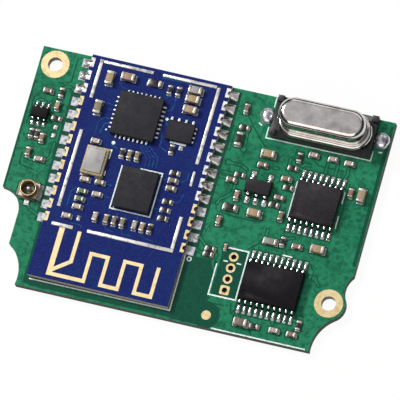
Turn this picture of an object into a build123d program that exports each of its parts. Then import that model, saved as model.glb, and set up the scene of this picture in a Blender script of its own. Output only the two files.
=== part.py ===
# A radio module soldered to its carrier board, with a crystal, chips and the
# small parts round them. All dimensions are in millimetres.
# X runs along the long side, Y along the short side and Z up from the board.
# The origin is the middle of the carrier board's underside.

import os
from math import atan2, cos, degrees, hypot, radians, sin

from build123d import *

os.makedirs("parts", exist_ok=True)

# Thicknesses of metal and print on both boards
board_thickness = 1.0
copper = 0.035
pad_height = 0.04
print_height = 0.02

# Chips with bent leads
lead_pitch = 0.65
lead_width = 0.24
lead_thickness = 0.15
pad_width = 0.38
chip_width = 4.4
chip_height = 1.1
upper_chip_leads = 8
lower_chip_leads = 10
upper_chip_length = lead_pitch * (upper_chip_leads - 1) + 0.45
lower_chip_length = lead_pitch * (lower_chip_leads - 1) + 0.65

# Module board and the lands under it
module_length = 15.9
module_width = 25.68
module_thickness = 0.8
module_turn = -0.45
land_height = 0.1
land_pitch = 1.5
land_count = 13
land_width = 1.05
land_outside = 0.96
land_inside = 0.7
soldered_left = 3
soldered_right = 9
notch_radius = 0.3
plating_wall = 0.04
castellation_depth = 0.45
module_bottom = board_thickness + land_height

# Holes of the carrier board
mounting_hole_radius = 0.8
mounting_ring_radius = 1.575
mounting_lobe_radius = 1.85
barrel_wall = 0.03
header_hole_radius = 0.29
header_ring_radius = 0.525
header_pitch = 1.27
header_count = 4

# Carrier board. Its length is the sum of what lies along it, from the left
# edge to the lobe round the lower hole, and its width the sum of the zones
# above, between and below the middles of the two large chips.
strip_width = 4.715
chip_gap = 5.965
hole_gap = 3.15
module_margin = 0.07
module_foot = 1.13
zone_above = 10.94
zone_between = 9.97
zone_below = 5.97
board_length = (
    strip_width + land_outside + module_length + land_outside + chip_gap
    + lower_chip_length + hole_gap + mounting_lobe_radius
)
board_width = max(zone_above + zone_between + zone_below, module_margin + module_width + module_foot)
left = -board_length / 2
right = board_length / 2
bottom = -board_width / 2
top = board_width / 2

# Places that other pieces are measured from
module_x = left + strip_width + land_outside + module_length / 2
module_y = top - module_margin - module_width / 2
land_right = module_x + module_length / 2 + land_outside
first_land_y = top - 0.94
lower_chip_x = land_right + chip_gap + lower_chip_length / 2
lower_chip_y = top - zone_above - zone_between
upper_chip_x = lower_chip_x + 2.25
upper_chip_y = top - zone_above
upper_hole = (left + 1.8, top - 1.77)
lower_hole = (lower_chip_x + lower_chip_length / 2 + hole_gap, top - 21.24)
header_x = lower_chip_x - lower_chip_length / 2 - 1.7
header_first_y = lower_chip_y + 2.37

# Crystal
crystal_x = right - 7.36
crystal_y = top - 2.3
insulator_length = 11.28
insulator_width = 4.56
insulator_height = 0.8
can_offset = 0.12
flange_length = insulator_length - 0.68
flange_width = insulator_width - 0.28
flange_height = 0.75
can_length = flange_length - 0.85
can_width = flange_width - 0.83
crystal_height = 4.2
crystal_lead_outside = 1.16
crystal_lead_width = 0.55
crystal_lead_thickness = 0.2

# Small two-ended parts: length, width, height, length of each metal end
capacitor_0603 = (1.5, 0.8, 0.75, 0.32)
capacitor_0402 = (0.98, 0.5, 0.5, 0.24)
capacitor_0201 = (0.62, 0.34, 0.32, 0.16)
resistor_0603 = (1.5, 0.7, 0.45, 0.3)
resistor_0402 = (0.98, 0.5, 0.35, 0.22)

flat = (Align.CENTER, Align.CENTER, Align.MIN)


def save(name, items):
    solids = [solid for item in items for solid in item.solids()]
    export_step(Compound(solids), f"parts/{name}.step")


def block(x, y, z, length, width, height, turn=0.0):
    return Pos(x, y, z) * Rot(0, 0, turn) * Box(length, width, height, align=flat)


def disc(x, y, z, radius, height):
    return Pos(x, y, z) * Cylinder(radius, height, align=flat)


def stroke(start, end, z, width, height):
    # a straight flat track from one point to the other
    dx = end[0] - start[0]
    dy = end[1] - start[1]
    middle = ((start[0] + end[0]) / 2, (start[1] + end[1]) / 2)
    return block(*middle, z, hypot(dx, dy), width, height, degrees(atan2(dy, dx)))


def plated_hole(x, y, radius, ring_radius, square=False):
    # the metal of one through hole, and the room it takes in the board
    if square:
        ring = Rectangle(2 * ring_radius, 2 * ring_radius)
        ring = fillet(ring.vertices(), 0.2)
    else:
        ring = Circle(ring_radius)
    room = Pos(x, y, 0) * extrude(ring, copper)
    room += Pos(x, y, board_thickness - copper) * extrude(ring, copper)
    room += disc(x, y, 0, radius + barrel_wall, board_thickness)
    metal = room - disc(x, y, 0, radius, board_thickness)
    return room, metal


def two_ended(place, x, y, upright, size):
    # body, two metal ends and two pads of one small part on its board
    length, width, height, end = size
    here = place * Pos(x, y, 0) * Rot(0, 0, 90 if upright else 0)
    body = here * block(0, 0, pad_height + 0.015, length - 2 * end, width - 0.03, height - 0.03)
    ends = []
    pads = []
    for side in (-1, 1):
        ends.append(here * block(side * (length - end) / 2, 0, pad_height, end, width, height))
        pads.append(here * block(side * (length / 2 - end / 2 + 0.03), 0, 0, end + 0.2, width + 0.04, pad_height))
    return body, ends, pads


def moulded_body(length, width, height, standoff, split, inset=0.09):
    # a chip body whose sides lean in above and below a straight band
    band = lead_thickness / 2 + 0.01
    inner = (length - 2 * inset, width - 2 * inset)
    upper = loft([
        Pos(0, 0, split + band) * Rectangle(length, width),
        Pos(0, 0, height) * Rectangle(*inner),
    ])
    lower = loft([
        Pos(0, 0, standoff) * Rectangle(*inner),
        Pos(0, 0, split - band) * Rectangle(length, width),
    ])
    middle = block(0, 0, split - band, length, width, 2 * band)
    return upper + middle + lower


def bent_lead(reach, split, width):
    # one lead that leaves the body at the band, bends down and lies on its pad
    half = lead_thickness / 2
    foot = pad_height
    points = [
        (0, split + half),
        (0.3 * reach, split + half),
        (0.56 * reach, foot + lead_thickness),
        (reach, foot + lead_thickness),
        (reach, foot),
        (0.42 * reach, foot),
        (0.18 * reach, split - half),
        (0, split - half),
    ]
    return extrude(Plane.YZ * Polygon(*points, align=None), width / 2, both=True)


def chip(x, y, turn, size, reach, far_places, near_places, lead, pad_end, pad_long, pad_wide):
    # a moulded chip with leads along its far and near sides
    length, width, height = size
    split = height * 0.52
    here = Pos(x, y, board_thickness) * Rot(0, 0, turn)
    body = here * moulded_body(length, width, height, 0.1, split)
    leads = []
    pads = []
    for places, spin in ((far_places, 0), (near_places, 180)):
        for place in places:
            side = here * Pos(place, 0, 0) * Rot(0, 0, spin)
            leads.append(side * Pos(0, width / 2, 0) * bent_lead(reach, split, lead))
            pads.append(side * block(0, pad_end - pad_long / 2, 0, pad_wide, pad_long, pad_height))
    return body, leads, pads


def toe(reach, under, width, rise):
    # one joint under a leadless chip, with its foot showing outside
    points = [
        (-under, 0),
        (reach, 0),
        (reach, 0.06),
        (0, rise),
        (0, pad_height),
        (-under, pad_height),
    ]
    return extrude(Plane.YZ * Polygon(*points, align=None), width / 2, both=True)


# Carrier board outline, with its notches and the lobe round the lower hole
left_step = left + 2.48
notch_top = top - 16.49
lobe_start = (
    lower_hole[0] + mounting_lobe_radius * cos(radians(-58.4)),
    lower_hole[1] + mounting_lobe_radius * sin(radians(-58.4)),
)
lobe_end = (
    lower_hole[0] + mounting_lobe_radius * cos(radians(36)),
    lower_hole[1] + mounting_lobe_radius * sin(radians(36)),
)
with BuildSketch() as board_outline:
    with BuildLine():
        Line((right, top), (left, top))
        Line((left, top), (left, notch_top))
        ThreePointArc((left, notch_top), (left + 1.87, notch_top - 0.93), (left_step, notch_top - 2.78))
        Line((left_step, notch_top - 2.78), (left_step, bottom + 4.29))
        ThreePointArc((left_step, bottom + 4.29), (left + 3.9, bottom + 2.79), (left + 4.35, bottom))
        Line((left + 4.35, bottom), (right - 2.55, bottom))
        ThreePointArc((right - 2.55, bottom), (right - 2.05, bottom + 2.69), lobe_start)
        ThreePointArc(lobe_start, (right, lower_hole[1]), lobe_end)
        ThreePointArc(lobe_end, (right - 0.56, lower_hole[1] + 2.05), (right, lower_hole[1] + 3.55))
        Line((right, lower_hole[1] + 3.55), (right, top))
    make_face()
board = extrude(board_outline.sketch, board_thickness)

mounting_metal = []
for hole in (upper_hole, lower_hole):
    room, metal = plated_hole(*hole, mounting_hole_radius, mounting_ring_radius)
    board -= room
    mounting_metal.append(metal)

header_ys = [header_first_y - header_pitch * i for i in range(header_count)]
header_metal = []
for y in header_ys:
    last = y == header_ys[-1]
    room, metal = plated_hole(header_x, y, header_hole_radius, header_ring_radius, square=last)
    board -= room
    header_metal.append(metal)

fiducial = disc(header_x - 1.2, bottom + 1.39, board_thickness - copper, 0.525, copper)
board -= fiducial

# Lands for the module, along both of its long sides
land_ys = [first_land_y - land_pitch * i for i in range(land_count)]
land_length = land_outside + land_inside
land_offset = module_length / 2 + (land_outside - land_inside) / 2
lands = []
for y in land_ys:
    for side in (-1, 1):
        lands.append(block(module_x + side * land_offset, y, board_thickness, land_length, land_width, land_height))

# Module board with its half-round plated notches
module_place = Pos(module_x, module_y, module_bottom) * Rot(0, 0, module_turn)
module_top = module_place * Pos(0, 0, module_thickness)
notch_ys = [y - module_y for y in land_ys]
quarter = Pos(notch_radius, 0, module_thickness / 2) * Box(2 * notch_radius, 2 * notch_radius, module_thickness)
notch_room = (disc(0, 0, 0, notch_radius, module_thickness) & quarter)
for z in (0, module_thickness - copper):
    notch_room += block(castellation_depth / 2, 0, z, castellation_depth, land_width, copper)
notch_bore = disc(0, 0, 0, notch_radius - plating_wall, module_thickness)
notch_metal = notch_room - notch_bore

fillet_height = 0.62
fillet_reach = land_outside - 0.12
fillet_wedge = loft([
    Plane.YZ * Pos(0, fillet_height / 2, 0) * Rectangle(0.5, fillet_height),
    Plane.YZ.offset(-fillet_reach) * Pos(0, 0.02, 0) * Rectangle(0.96, 0.04),
])
fillet_core = disc(0, 0, 0, notch_radius - plating_wall, fillet_height) & quarter
fillet_solder = fillet_wedge + fillet_core

module_board = block(0, 0, 0, module_length, module_width, module_thickness)
soldered = []
bare = []
solder = []
for side, count in ((-1, soldered_left), (1, soldered_right)):
    for i, v in enumerate(notch_ys):
        here = Pos(side * module_length / 2, v, 0) * Rot(0, 0, 0 if side < 0 else 180)
        module_board -= here * notch_room
        module_board -= here * notch_bore
        if i < count:
            soldered.append(module_place * here * notch_metal)
            solder.append(module_place * here * fillet_solder)
        else:
            bare.append(module_place * here * notch_metal)

save("main_board", [board])
save("corner_hole_plating", mounting_metal)
save("header_hole_plating", header_metal)
save("fiducial_pad", [fiducial])
save("module_lands", lands)
save("module_board", [module_place * module_board])
save("castellations_soldered", soldered)
save("castellations_bare", bare)
save("module_solder_fillets", solder)

# Crystal: sealed can, insulator plate, flattened leads and their solder
flange = Pos(can_offset, 0, insulator_height) * extrude(SlotOverall(flange_length, flange_width), flange_height)
flange = fillet(flange.edges().group_by(Axis.Z)[-1], 0.2)
cap = Pos(can_offset, 0, insulator_height) * extrude(
    SlotOverall(can_length, can_width), crystal_height - insulator_height
)
cap = fillet(cap.edges().group_by(Axis.Z)[-1], 0.45)
can = flange + cap

insulator = block(0, 0, 0, insulator_length, insulator_width, insulator_height)
post = 0.7
for x_side in (-1, 1):
    for y_side in (-1, 1):
        insulator += block(
            x_side * (insulator_length - post) / 2, y_side * (insulator_width - post) / 2,
            insulator_height, post, post, 0.5,
        )
crystal_leads = []
crystal_solder = []
pin_x = 2.44
crystal_lead_reach = insulator_length / 2 + crystal_lead_outside
for side in (-1, 1):
    strip_length = crystal_lead_reach - pin_x + crystal_lead_width / 2
    strip_x = side * (crystal_lead_reach - strip_length / 2)
    strip = block(strip_x, 0, pad_height, strip_length, crystal_lead_width, crystal_lead_thickness)
    pin = disc(side * pin_x, 0, pad_height, 0.2, insulator_height - pad_height)
    groove = block(strip_x, 0, 0, strip_length, crystal_lead_width, pad_height + crystal_lead_thickness)
    insulator -= groove + pin
    crystal_leads.append(strip + pin)
    outer = insulator_length / 2 + 0.05
    mound_x = side * (outer + 0.72)
    mound = loft([
        Pos(mound_x, 0, 0) * Rectangle(1.44, 1.66),
        Pos(mound_x, 0, 0.36) * Rectangle(1.16, 1.34),
        Pos(mound_x, 0, 0.62) * Rectangle(0.6, 0.76),
    ], ruled=True)
    crystal_solder.append(mound - strip)

crystal_place = Pos(crystal_x, crystal_y, board_thickness)
save("crystal_can", [crystal_place * can])
save("crystal_insulator", [crystal_place * insulator])
save("crystal_leads", [crystal_place * lead for lead in crystal_leads])
save("crystal_solder", [crystal_place * mound for mound in crystal_solder])

# Chips with bent leads
sixteen = [(i - (upper_chip_leads - 1) / 2) * lead_pitch for i in range(upper_chip_leads)]
twenty = [(i - (lower_chip_leads - 1) / 2) * lead_pitch for i in range(lower_chip_leads)]
upper_chip = chip(upper_chip_x, upper_chip_y, -1.0, (upper_chip_length, chip_width, chip_height), 1.0,
                  sixteen, sixteen, lead_width, chip_width / 2 + 1.35, 1.0, pad_width)
lower_chip = chip(lower_chip_x, lower_chip_y, 0, (lower_chip_length, chip_width, chip_height), 1.0,
                  twenty, twenty, lead_width, chip_width / 2 + 1.4, 1.0, pad_width)
regulator = chip(land_right + 4.895, top - 10.54, 0, (2.9, 1.6, 1.0), 0.62, [-0.95, 0.95], [-0.95, 0, 0.95],
                 0.36, 1.85, 0.9, 0.55)
small_chip = chip(left + 1.8, top - 7.64, 0, (2.0, 1.25, 0.9), 0.5, [-0.65, 0, 0.65], [-0.65, 0, 0.65],
                  0.24, 1.38, 0.62, 0.36)
dimple_z = board_thickness + chip_height - 0.06
upper_dimple = disc(upper_chip_x - upper_chip_length / 2 + 0.6, upper_chip_y - chip_width / 2 + 0.7,
                    dimple_z, 0.28, 0.1)
lower_dimple = disc(lower_chip_x - lower_chip_length / 2 + 0.65, lower_chip_y - chip_width / 2 + 0.7,
                    dimple_z, 0.28, 0.1)
save("sixteen_lead_chip_body", [upper_chip[0] - upper_dimple])
save("sixteen_lead_chip_leads", upper_chip[1])
save("twenty_lead_chip_body", [lower_chip[0] - lower_dimple])
save("twenty_lead_chip_leads", lower_chip[1])
save("regulator_body", [regulator[0]])
save("regulator_leads", regulator[1])
save("small_chip_body", [small_chip[0]])
save("small_chip_leads", small_chip[1])

# Antenna socket: plastic base, metal shell with two feet, centre pin
socket_x = left + 3.07
socket_y = top - 16.34
socket_place = Pos(socket_x, socket_y, board_thickness)
ring_inner = 0.62
base_height = 0.38
plate_top = base_height + 0.1
socket_base = block(0, 0, pad_height, 1.9, 2.2, base_height - pad_height)
signal = block(0, -0.7, pad_height, 0.5, 1.55, 0.12) + disc(0, 0, pad_height, 0.2, 1.08)
socket_base -= signal
profile = [
    (ring_inner, plate_top),
    (0.95, plate_top),
    (0.95, 0.62),
    (0.88, 0.72),
    (0.88, 0.86),
    (0.95, 0.98),
    (0.93, 1.12),
    (0.78, 1.25),
    (0.66, 1.25),
    (ring_inner, 1.18),
]
socket_ring = revolve(Plane.XZ * Polygon(*profile, align=None), Axis.Z)
socket_shell = block(0, 0, base_height, 2.1, 1.7, 0.1) - disc(0, 0, base_height, ring_inner, 0.1)
for side in (-1, 1):
    socket_shell += block(side * 1.0, 0, pad_height, 0.1, 1.5, plate_top - pad_height)
    socket_shell += block(side * 1.15, 0, pad_height, 0.3, 1.5, 0.12)
socket_shell += socket_ring
save("antenna_socket_base", [socket_place * socket_base])
save("antenna_socket_shell", [socket_place * socket_shell])
save("antenna_socket_pin", [socket_place * signal])
socket_pads = [
    socket_place * block(-1.12, 0, 0, 0.5, 1.5, pad_height),
    socket_place * block(1.16, 0, 0, 0.5, 1.7, pad_height),
    socket_place * block(0, -1.38, 0, 0.62, 0.56, pad_height),
]
save("chip_lead_pads", upper_chip[2] + lower_chip[2] + regulator[2] + small_chip[2] + socket_pads)

# Small parts on the carrier board, each group measured from its own edge.
# Each entry is the distance along X, the place along Y and whether it stands
# along Y.
parts_y = top - 13.44
left_edge = Pos(left, parts_y, board_thickness)
middle_edge = Pos(land_right, parts_y, board_thickness)
right_edge = Pos(right, parts_y, board_thickness)
corner_edge = Pos(right, bottom, board_thickness)
under_crystal = Pos(right, top, board_thickness)
board_parts = [
    (left_edge, capacitor_0402, [
        (1.95, 8.5, False), (3.42, 7.08, True), (2.75, 3.15, True), (1.73, 1.3, True), (3.1, 0.75, False),
    ]),
    (left_edge, resistor_0402, [
        (3.45, 8.62, True), (3.67, 5.65, False), (1.45, 3.45, True), (2.11, 3.45, True),
    ]),
    (middle_edge, capacitor_0402, [
        (1.25, 11.36, True), (4.61, 5.58, False), (1.73, 3.2, False), (2.78, 1.65, True), (1.61, -1.55, True),
    ]),
    (middle_edge, capacitor_0201, [(3.13, -4.25, True)]),
    (middle_edge, capacitor_0603, [(4.93, 6.85, False), (5.2, 0.05, False)]),
    (middle_edge, resistor_0402, [
        (1.56, 9.25, False), (2.48, 3.95, False), (1.56, -4.83, False), (1.5, -5.47, False),
    ]),
    (middle_edge, resistor_0603, [(1.33, 7.85, True), (2.43, 0.15, False)]),
    (right_edge, capacitor_0402, [
        (-9.92, 4.6, False), (-10.12, 2.37, False), (-9.4, 0.4, True), (-2.67, 4.62, True), (-6.8, -2.5, False),
    ]),
    (right_edge, capacitor_0603, [(-1.45, 4.55, True), (-4.5, -2.35, False)]),
    (right_edge, resistor_0402, [
        (-9.13, 7.3, True), (-9.55, 5.98, False), (-9.45, 3.7, False), (-10.47, 1.5, False), (-8.45, -2.3, True),
    ]),
    (right_edge, resistor_0603, [(-9.75, -2.6, False)]),
    (under_crystal, capacitor_0402, [(-7.7, -5.57, False), (-5.52, -5.57, False), (-3.65, -5.64, False)]),
    (corner_edge, capacitor_0402, [(-6.75, 1.32, False), (-4.8, 1.32, False)]),
    (corner_edge, capacitor_0603, [(-10.5, 1.34, False)]),
    (corner_edge, resistor_0402, [(-9.0, 1.29, False), (-4.32, 2.46, True)]),
]

# Small parts on the module, measured from the module's centre
module_parts = [
    (module_top, capacitor_0603, [
        (-5.26, 10.53, True), (-5.6, 7.03, True), (-3.31, 11.09, False), (4.29, 11.3, False),
        (4.26, 10.25, False), (4.3, 9.03, False),
    ]),
    (module_top, resistor_0603, [(-0.31, 11.12, False)]),
    (module_top, resistor_0402, [
        (1.49, 10.78, True), (2.47, 10.79, True), (-1.62, 2.66, True), (3.54, 4.3, True), (3.69, -4.88, True),
        (4.61, 1.79, False), (4.74, -1.51, False), (4.74, -2.49, False), (4.75, -3.44, False),
    ]),
    (module_top, capacitor_0402, [
        (-4.8, 3.3, False), (-0.75, 2.66, True), (0.1, 2.67, True), (4.67, 0.91, False), (4.67, 0.01, False),
        (-4.72, -1.15, False), (-3.04, -1.13, False), (-4.66, -2.52, False), (-2.98, -2.5, False),
        (-4.7, -3.42, False), (-4.69, -4.32, False), (-5.53, -5.57, False), (-2.46, -4.97, True),
        (-1.22, -4.96, True), (-0.32, -4.95, True), (0.61, -4.95, True), (1.98, -4.93, True),
        (2.84, -4.93, True),
    ]),
]

empty_board_pads = [left_edge * block(3.85, y, 0, 0.42, 0.5, pad_height) for y in (4.7, 3.75)]
empty_module_pads = [
    module_top * block(4.44, 4.71, 0, 0.45, 0.5, pad_height),
    module_top * block(-4.23, -5.51, 0, 0.35, 0.55, pad_height),
]
for prefix, groups, spare in (
    ("board", board_parts, empty_board_pads),
    ("module", module_parts, empty_module_pads),
):
    bodies = {"capacitor": [], "resistor": []}
    ends = {"capacitor": [], "resistor": []}
    pads = list(spare)
    for place, size, entries in groups:
        kind = "resistor" if size in (resistor_0402, resistor_0603) else "capacitor"
        for x, y, upright in entries:
            body, part_ends, part_pads = two_ended(place, x, y, upright, size)
            bodies[kind].append(body)
            ends[kind] += part_ends
            pads += part_pads
    for kind in bodies:
        save(f"{prefix}_{kind}_bodies", bodies[kind])
        save(f"{prefix}_{kind}_ends", ends[kind])
    save(f"{prefix}_passive_pads", pads)

# Chips on the module
radio_chip = block(1.06, -1.12, 0.2, 4.1, 4.6, 0.7)
radio_joints = []
for i in range(6):
    for j in range(6):
        radio_joints.append(block(1.06 + (i - 2.5) * 0.65, -1.12 + (j - 2.5) * 0.65, 0, 0.3, 0.3, 0.2))
save("radio_chip", [module_top * radio_chip])
save("radio_chip_joints", [module_top * joint for joint in radio_joints])

processor_x = -1.1
processor_y = 6.96
processor_side = 4.9
processor_height = 0.85
processor_body = block(processor_x, processor_y, pad_height, processor_side, processor_side,
                       processor_height - pad_height)
processor_toe = toe(0.35, 0.3, 0.24, 0.26)
processor_toes = []
for turn in (0, 90, 180, 270):
    for i in range(8):
        spot = Pos(processor_x, processor_y, 0) * Rot(0, 0, turn) * Pos((i - 3.5) * 0.5, processor_side / 2, 0)
        processor_toes.append(module_top * spot * processor_toe)
save("processor_body", [module_top * processor_body])
save("processor_terminals", processor_toes)
save("processor_thermal_pad", [module_top * block(processor_x, processor_y, 0, 3.3, 3.3, pad_height)])

memory_x = 3.93
memory_y = 6.38
memory_length = 2.95
memory_width = 2.2
memory_toes = []
for x in (-1.3, -0.5, 0.3, 1.1):
    memory_toes.append(Pos(memory_x + x, memory_y + memory_width / 2, 0) * toe(0.45, 0.15, 0.36, 0.2))
for y in (-0.78, -0.26, 0.26, 0.78):
    memory_toes.append(
        Pos(memory_x + memory_length / 2, memory_y + y, 0) * Rot(0, 0, -90) * toe(0.22, 0.15, 0.28, 0.2)
    )
save("memory_chip_body", [
    module_top * block(memory_x, memory_y, pad_height, memory_length, memory_width, 0.6 - pad_height)
])
save("memory_chip_terminals", [module_top * joint for joint in memory_toes])

oscillator_x = -4.23
oscillator_y = 1.06
oscillator_base = block(oscillator_x, oscillator_y, pad_height, 2.5, 3.2, 0.55)
oscillator_lid = block(oscillator_x, oscillator_y, pad_height + 0.55, 2.05, 2.75, 0.2)
oscillator_feet = []
for x_side in (-1, 1):
    for y_side in (-1, 1):
        oscillator_feet.append(block(
            oscillator_x + x_side * 0.85, oscillator_y + y_side * 1.35, 0, 0.85, 0.8, pad_height,
        ))
save("oscillator_base", [module_top * oscillator_base])
save("oscillator_lid", [module_top * oscillator_lid])
save("oscillator_pads", [module_top * foot for foot in oscillator_feet])

# Tinned tracks where a shield would be soldered: from, to and width
fence_tracks = [
    ((-6.75, 12.5), (-6.75, 8.0), 0.4),
    ((-6.75, 4.27), (-6.75, -4.68), 0.4),
    ((6.65, 12.3), (6.65, 3.35), 0.4),
    ((6.65, 2.5), (6.65, 0.8), 0.3),
    ((6.65, -2.75), (6.65, -6.45), 0.4),
    ((-6.5, 12.3), (-0.82, 12.3), 0.35),
    ((0.23, 12.3), (6.4, 12.3), 0.35),
    ((-6.97, -6.68), (-4.52, -6.68), 0.4),
    ((-2.92, -6.68), (6.85, -6.68), 0.4),
]
fence = [module_top * stroke(start, end, 0, width, 0.1) for start, end, width in fence_tracks]
save("shield_fence", fence)

# Printed antenna: one joined track, from, to and width
antenna_tracks = [
    ((-5.65, -6.92), (-5.65, -12.41), 0.6),
    ((-3.66, -6.92), (-3.66, -10.5), 0.42),
    ((-3.53, -10.3), (-5.6, -11.85), 0.42),
    ((-5.9, -12.2), (-1.55, -12.2), 0.42),
    ((-1.75, -12.2), (-1.75, -8.83), 0.4),
    ((-1.95, -9.03), (0.36, -9.03), 0.4),
    ((0.16, -9.03), (0.16, -12.41), 0.4),
    ((-0.04, -12.2), (2.27, -12.2), 0.42),
    ((2.07, -12.2), (2.07, -8.83), 0.4),
    ((1.87, -9.03), (4.17, -9.03), 0.4),
    ((3.97, -9.03), (3.97, -12.41), 0.4),
    ((3.77, -12.2), (6.06, -12.2), 0.42),
    ((5.86, -12.2), (5.86, -8.83), 0.4),
]
antenna = None
for start, end, width in antenna_tracks:
    track = stroke(start, end, 0, width, copper)
    antenna = track if antenna is None else antenna + track
save("antenna_trace", [module_top * antenna])

# White printed lines of the module: from, to and width
module_lines = [
    ((-1.26, -3.5), (-1.26, 1.39), 0.14),
    ((3.3, -3.5), (3.3, 1.39), 0.14),
    ((-1.33, -3.58), (3.37, -3.58), 0.14),
    ((0.8, 1.47), (3.37, 1.47), 0.14),
    ((-1.13, -3.12), (-0.83, -3.44), 0.1),
    ((-2.86, 2.85), (-2.86, 1.75), 0.12),
    ((-2.86, 0.35), (-2.86, -0.2), 0.12),
    ((3.08, 5.14), (4.88, 5.14), 0.2),
]
module_print = [module_top * stroke(start, end, 0, width, print_height) for start, end, width in module_lines]
for x, y, radius in ((-4.13, 4.89, 0.1), (-2.92, 3.62, 0.2), (2.05, 7.55, 0.17)):
    module_print.append(module_top * disc(x, y, 0, radius, print_height))
save("module_legend", module_print)

# White printed lines of the carrier: from, to and width
right_line = module_x + module_length / 2 + 0.03
low_line = module_y - module_width / 2 - 0.14
socket_left = header_x - 1.6
socket_right = header_x + 1.45
crystal_left = crystal_x - insulator_length / 2 - 0.38
crystal_right = crystal_x + insulator_length / 2 + 0.12
crystal_low = crystal_y - insulator_width / 2 - 0.16
board_lines = [
    ((right_line, bottom + 7.5), (right_line, low_line + 0.07), 0.14),
    ((left + 5.7, low_line), (right_line + 0.07, low_line), 0.14),
    ((right - 13.5, bottom + 0.1), (right - 3.0, bottom + 0.1), 0.14),
    ((crystal_left, top - 0.04), (crystal_left, top - 1.2), 0.12),
    ((crystal_left, top - 3.5), (crystal_left, crystal_low + 0.07), 0.12),
    ((crystal_left - 0.06, crystal_low), (crystal_right + 0.06, crystal_low), 0.14),
    ((crystal_right, crystal_low + 0.07), (crystal_right, crystal_low + 1.1), 0.12),
    ((right - 14.55, top - 3.25), (right - 14.15, top - 3.5), 0.14),
    ((right - 1.0, top - 3.62), (right - 0.6, top - 3.58), 0.14),
    ((upper_chip_x - 2.72, upper_chip_y + 2.2), (upper_chip_x - 2.72, upper_chip_y - 2.05), 0.12),
    ((upper_chip_x + 2.65, upper_chip_y + 2.1), (upper_chip_x + 2.65, upper_chip_y + 0.8), 0.12),
    ((upper_chip_x + 2.65, upper_chip_y - 0.6), (upper_chip_x + 2.65, upper_chip_y - 2.1), 0.12),
    ((lower_chip_x + 0.15, lower_chip_y + 3.77), (lower_chip_x + 1.25, lower_chip_y + 3.77), 0.14),
    ((socket_left, header_first_y - 1.1), (socket_left, header_ys[-1] - 0.75), 0.14),
    ((socket_left - 0.07, header_ys[-1] - 0.83), (socket_right + 0.07, header_ys[-1] - 0.83), 0.16),
    ((socket_right, header_first_y + 0.8), (socket_right, header_ys[-1] - 0.75), 0.14),
    ((header_x - 0.85, header_first_y + 0.9), (socket_right + 0.07, header_first_y + 0.9), 0.16),
    ((header_x - 1.0, header_first_y - 0.63), (header_x - 0.5, header_first_y - 0.63), 0.14),
    ((header_x + 0.5, header_first_y - 0.63), (header_x + 1.0, header_first_y - 0.63), 0.14),
]
board_print = [stroke(start, end, board_thickness, width, print_height) for start, end, width in board_lines]
mark_x = land_right - 0.4
mark_y = land_ys[-1] - 0.9
mark = disc(mark_x, mark_y, board_thickness, 0.28, print_height)
board_print.append(mark - disc(mark_x, mark_y, board_thickness, 0.15, print_height))
save("board_legend", board_print)
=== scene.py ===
# Dresses a packed bluetooth module: a blue radio board soldered to a green carrier board.
# Sizes are written in millimetres and colours as they look on a screen.
from math import atan2, copysign, cos, pi, radians, sin

import bmesh
import bpy
from mathutils import Matrix, Vector
from mathutils.geometry import delaunay_2d_cdt


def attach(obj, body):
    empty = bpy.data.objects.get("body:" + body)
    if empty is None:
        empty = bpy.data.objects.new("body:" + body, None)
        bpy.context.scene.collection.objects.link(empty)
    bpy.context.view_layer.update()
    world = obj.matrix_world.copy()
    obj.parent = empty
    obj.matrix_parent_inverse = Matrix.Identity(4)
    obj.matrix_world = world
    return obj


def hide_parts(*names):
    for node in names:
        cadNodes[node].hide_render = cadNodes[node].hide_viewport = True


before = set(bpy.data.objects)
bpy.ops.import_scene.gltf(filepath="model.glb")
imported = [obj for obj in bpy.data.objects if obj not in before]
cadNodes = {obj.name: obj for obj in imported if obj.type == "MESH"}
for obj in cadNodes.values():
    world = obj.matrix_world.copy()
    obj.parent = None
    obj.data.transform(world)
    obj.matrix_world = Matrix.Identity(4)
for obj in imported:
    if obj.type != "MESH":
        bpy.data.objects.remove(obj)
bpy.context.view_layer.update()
mm = 0.001
inMm = (1000, 1000, 1000)  # from metres, along each axis
hair = 1e-7  # points of a node that are closer than this, in metres, are one
moduleTurn = radians(-0.45)  # the module sits a little askew on its carrier
upperChipTurn = radians(-1.0)
carrierTop = 1.0
moduleTop = 1.9
moduleCentre = (-6.375, 0.53)
print("frame loaded:", len(cadNodes), "nodes")


def linear(colour):
    # a colour as seen on a screen, in the renderer's own values
    return tuple(c / 12.92 if c < 0.04045 else ((c + 0.055) / 1.055) ** 2.4 for c in colour)


draft = {"tree": None}  # the node tree that is being written


def feed(socket, value):
    if isinstance(value, bpy.types.NodeSocket):
        draft["tree"].links.new(value, socket)
    else:
        socket.default_value = value


def put(kind, values=None, family="ShaderNode", **settings):
    # one node with its settings, its values and its incoming links, given back as its outputs
    node = draft["tree"].nodes.new(family + kind)
    for key, value in settings.items():
        setattr(node, key, value)
    for key, value in (values or {}).items():
        feed(node.inputs[key], value)
    return node.outputs


def form(kind, values=None, **settings):
    return put(kind, values, "GeometryNode", **settings)


def calc(operation, *values):
    return put("Math", dict(enumerate(values)), operation=operation)[0]


def times(*values):
    return calc("MULTIPLY", *values)


def plus(*values):
    return calc("ADD", *values)


def minus(*values):
    return calc("SUBTRACT", *values)


def vectorCalc(operation, *values, output=0):
    return put("VectorMath", dict(enumerate(values)), operation=operation)[output]


def axesOf(vector):
    return put("SeparateXYZ", {0: vector})


def joined(x, y, z):
    return put("CombineXYZ", {0: x, 1: y, 2: z})[0]


# what every material is made from

finishes = {}


def startMaterial(name, **sockets):
    finishes[name] = bpy.data.materials.new(name)
    finishes[name].use_nodes = True
    draft["tree"] = finishes[name].node_tree
    for key, value in sockets.items():
        draft["tree"].nodes["Principled BSDF"].inputs[key.replace("_", " ")].default_value = value
    place = put("TexCoord")["Object"]
    return vectorCalc("MULTIPLY", place, inMm)


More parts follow.
